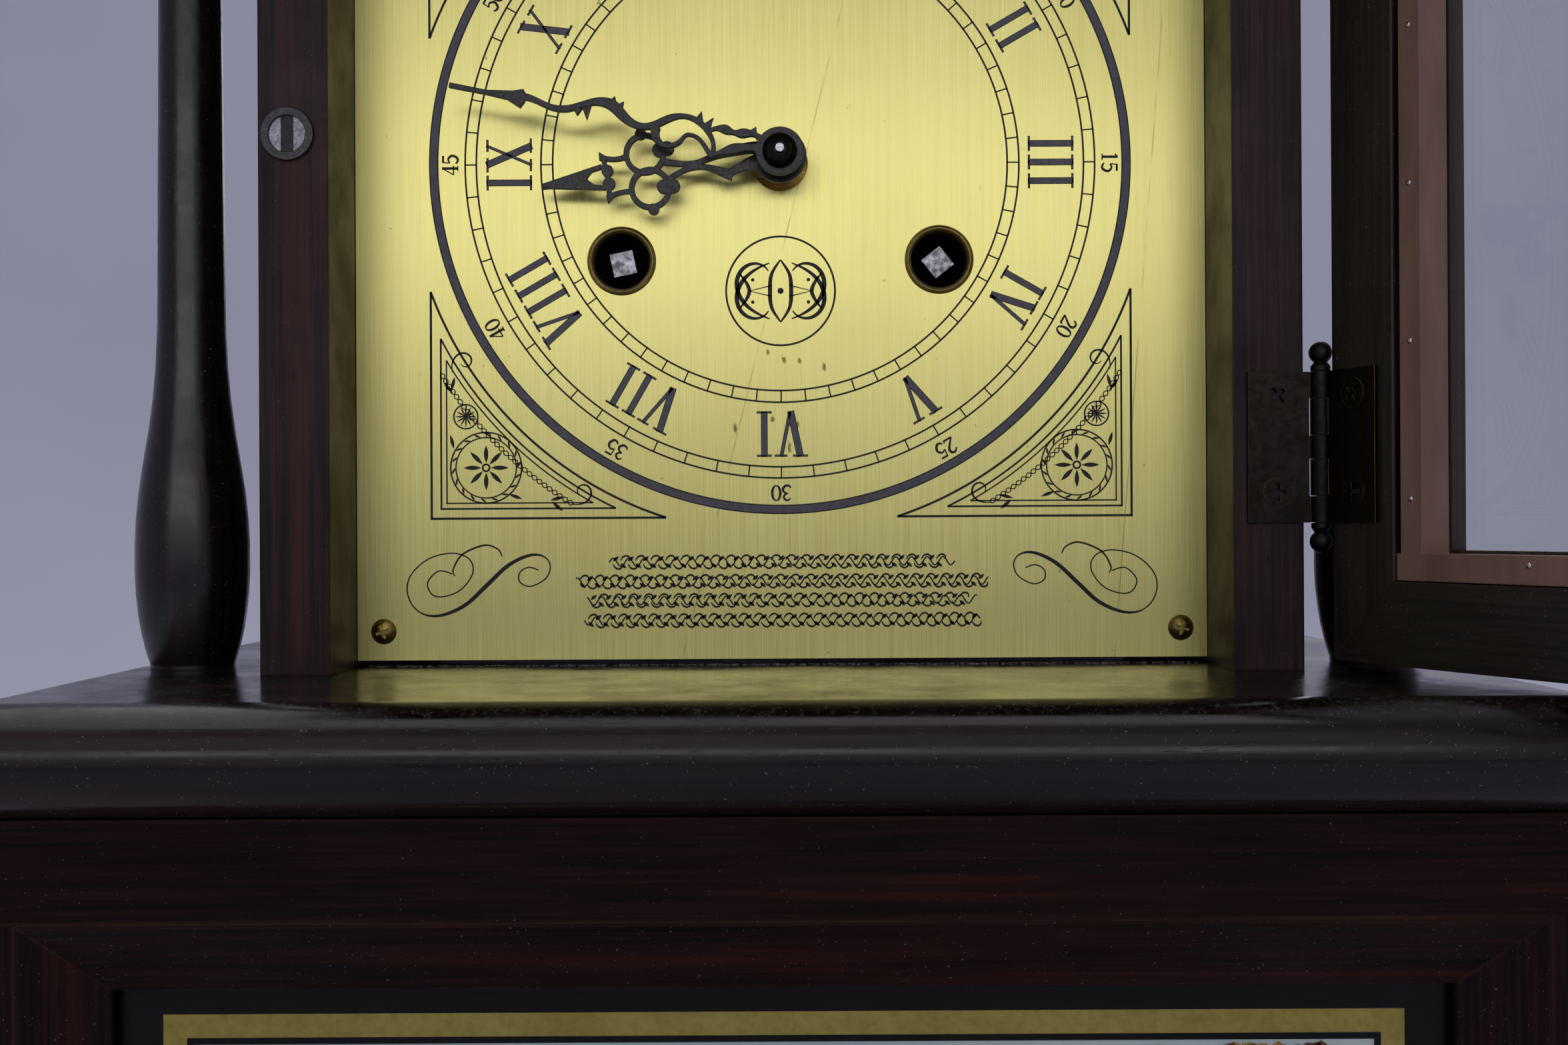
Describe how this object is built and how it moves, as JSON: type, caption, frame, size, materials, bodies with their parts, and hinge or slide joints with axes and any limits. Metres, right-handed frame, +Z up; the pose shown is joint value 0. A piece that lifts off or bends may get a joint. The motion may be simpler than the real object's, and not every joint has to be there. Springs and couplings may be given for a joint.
{
  "type": "pillar shelf clock",
  "caption": "Key-wound shelf clock: picture-panel base, ledge with turned columns, brass dial, hinged glazed door and a two-train pendulum movement.",
  "frame": {"origin": "middle of the plinth's underside, on the surface the clock stands on", "axes": "+Z up, front faces -Y, +X to the right as seen from the front"},
  "size_m": [0.3055, 0.2653, 0.4385],
  "materials": {
    "dark_wood": "gloss",
    "bead_wood": "satin",
    "printed_board": "printed landscape, matte",
    "clear_glass": "clear",
    "dial_brass": "vertical brushed, lacquered",
    "aged_brass": "aged",
    "movement_brass": "satin",
    "bronze": "dark bronze, satin",
    "bright_steel": "satin",
    "magnet": "matte",
    "black_plastic": "satin",
    "black_hands": "satin black",
    "cast_block": "painted"
  },
  "bodies": {
    "case": {"plinth_board": "dark_wood", "base_sides": "dark_wood", "base_back": "dark_wood", "base_face_frame": "dark_wood", "panel_moulding": "dark_wood", "panel_glass": "clear_glass", "picture_panel": "printed_board", "ledge_board": "dark_wood", "hood_sides": "dark_wood", "cornice_board": "dark_wood", "top_cap": "dark_wood", "columns": "dark_wood", "dial_plate": "dial_brass", "dial_battens": "dark_wood", "winding_eyelets": "aged_brass", "dial_screws": "aged_brass", "catch_housing": "black_plastic", "catch_magnet": "magnet", "catch_poles": "bright_steel", "hinge_case_leaves": "bronze", "hinge_case_screws": "bronze", "hinge_pins": "bronze", "front_plate": "movement_brass", "back_plate": "movement_brass", "plate_pillars": "movement_brass", "suspension_cock": "movement_brass", "minute_post": "bright_steel", "rod_block": "cast_block", "chime_rods": "bright_steel"},
    "front_door": {"door_stiles": "dark_wood", "door_rails": "dark_wood", "door_glass": "clear_glass", "glass_beads": "bead_wood", "door_knob": "aged_brass", "catch_strike": "bright_steel", "hinge_door_leaves": "bronze", "hinge_door_screws": "bronze"},
    "rear_door": {"rear_door_panel": "dark_wood", "rear_door_hinges": "bronze"},
    "turn_button": {"rear_turn_button": "aged_brass"},
    "minute_work": {"minute_hand": "black_hands", "cannon_pinion": "bright_steel", "hand_nut": "bronze"},
    "minute_gear": {"minute_wheel": "movement_brass"},
    "hour_work": {"hour_wheel": "movement_brass", "hour_hand": "black_hands"},
    "third": {"third_wheel": "movement_brass"},
    "centre": {"centre_arbor": "bright_steel"},
    "second": {"second_wheel": "movement_brass"},
    "escape": {"escape_wheel": "movement_brass"},
    "time_drum": {"time_barrel": "movement_brass"},
    "pins": {"pin_wheel": "movement_brass"},
    "strike_drum": {"strike_barrel": "movement_brass"},
    "time_winder": {"time_winding_arbor": "bright_steel"},
    "strike_winder": {"strike_winding_arbor": "bright_steel"},
    "hammer_pair": {"hammers": "movement_brass"},
    "pallets": {"pallet_arbor": "bright_steel"},
    "pendulum": {"pendulum_rod": "bright_steel", "pendulum_bob": "dial_brass"},
    "bob_nut": {"rating_nut": "aged_brass"}
  },
  "joints": [
    {"name": "front_door_swing", "type": "hinge", "parent": "case", "child": "front_door", "pos_m": [0.0908, -0.0281, 0.3165], "axis": [0, 0, 1], "range_deg": [-114, 36]},
    {"name": "rear_door_swing", "type": "hinge", "parent": "case", "child": "rear_door", "pos_m": [-0.0908, 0.0618, 0.3165], "axis": [0, 0, 1], "range_deg": [0, 110]},
    {"name": "turn_button_turn", "type": "hinge", "parent": "case", "child": "turn_button", "pos_m": [0, 0.0712, 0.416], "axis": [0, 1, 0], "range_deg": [0, 90]},
    {"name": "minute_hand_turn", "type": "hinge", "parent": "case", "child": "minute_work", "pos_m": [0, -0.019, 0.315], "axis": [0, 1, 0], "continuous": true},
    {"name": "minute_wheel_turn", "type": "hinge", "parent": "case", "child": "minute_gear", "pos_m": [0, -0.003, 0.3025], "axis": [0, 1, 0], "continuous": true},
    {"name": "hour_hand_turn", "type": "hinge", "parent": "case", "child": "hour_work", "pos_m": [0, -0.01, 0.315], "axis": [0, 1, 0], "continuous": true},
    {"name": "third_wheel_turn", "type": "hinge", "parent": "case", "child": "third", "pos_m": [-0.00902, 0.02, 0.32889], "axis": [0, 1, 0], "continuous": true},
    {"name": "centre_arbor_turn", "type": "hinge", "parent": "case", "child": "centre", "pos_m": [0, 0.02, 0.315], "axis": [0, 1, 0], "continuous": true},
    {"name": "second_wheel_turn", "type": "hinge", "parent": "case", "child": "second", "pos_m": [0.0168, 0.02, 0.31992], "axis": [0, 1, 0], "continuous": true},
    {"name": "escape_wheel_turn", "type": "hinge", "parent": "case", "child": "escape", "pos_m": [0, 0.02, 0.34159], "axis": [0, 1, 0], "continuous": true},
    {"name": "time_barrel_turn", "type": "hinge", "parent": "case", "child": "time_drum", "pos_m": [0.0285, 0.02, 0.2976], "axis": [0, 1, 0], "continuous": true},
    {"name": "pin_wheel_turn", "type": "hinge", "parent": "case", "child": "pins", "pos_m": [-0.034, 0.02, 0.32219], "axis": [0, 1, 0], "continuous": true},
    {"name": "strike_barrel_turn", "type": "hinge", "parent": "case", "child": "strike_drum", "pos_m": [-0.0285, 0.02, 0.2976], "axis": [0, 1, 0], "continuous": true},
    {"name": "time_arbor_wind", "type": "hinge", "parent": "case", "child": "time_winder", "pos_m": [0.0285, 0, 0.2976], "axis": [0, 1, 0], "range_deg": [0, 1980]},
    {"name": "strike_arbor_wind", "type": "hinge", "parent": "case", "child": "strike_winder", "pos_m": [-0.0285, 0, 0.2976], "axis": [0, 1, 0], "range_deg": [0, 1980]},
    {"name": "hammer_lift", "type": "hinge", "parent": "case", "child": "hammer_pair", "pos_m": [-0.047, 0.044, 0.279], "axis": [0, -1, 0], "range_deg": [0, 14], "stiffness_Nm_per_rad": 0.02, "springref_deg": -20.05},
    {"name": "pendulum_swing", "type": "hinge", "parent": "case", "child": "pendulum", "pos_m": [0, 0.0548, 0.36], "axis": [0, 1, 0], "range_deg": [-4, 4]},
    {"name": "pallet_rock", "type": "hinge", "parent": "case", "child": "pallets", "pos_m": [0, 0.03, 0.36], "axis": [0, 1, 0], "range_deg": [-4, 4]},
    {"name": "rating_nut_turn", "type": "hinge", "parent": "pendulum", "child": "bob_nut", "pos_m": [0, 0.0548, 0.2353], "axis": [0, 0, 1], "range_deg": [-720, 720]}
  ],
  "couplings": [
    {"joint": "minute_wheel_turn", "follows": "minute_hand_turn", "ratio": -0.33333},
    {"joint": "hour_hand_turn", "follows": "minute_hand_turn", "ratio": 0.083333},
    {"joint": "centre_arbor_turn", "follows": "third_wheel_turn", "ratio": -0.095238},
    {"joint": "second_wheel_turn", "follows": "third_wheel_turn", "ratio": 0.015873},
    {"joint": "time_barrel_turn", "follows": "third_wheel_turn", "ratio": -0.0026455},
    {"joint": "escape_wheel_turn", "follows": "third_wheel_turn", "ratio": -11.714},
    {"joint": "strike_barrel_turn", "follows": "pin_wheel_turn", "ratio": -0.16667},
    {"joint": "pallet_rock", "follows": "pendulum_swing", "ratio": 1}
  ]
}
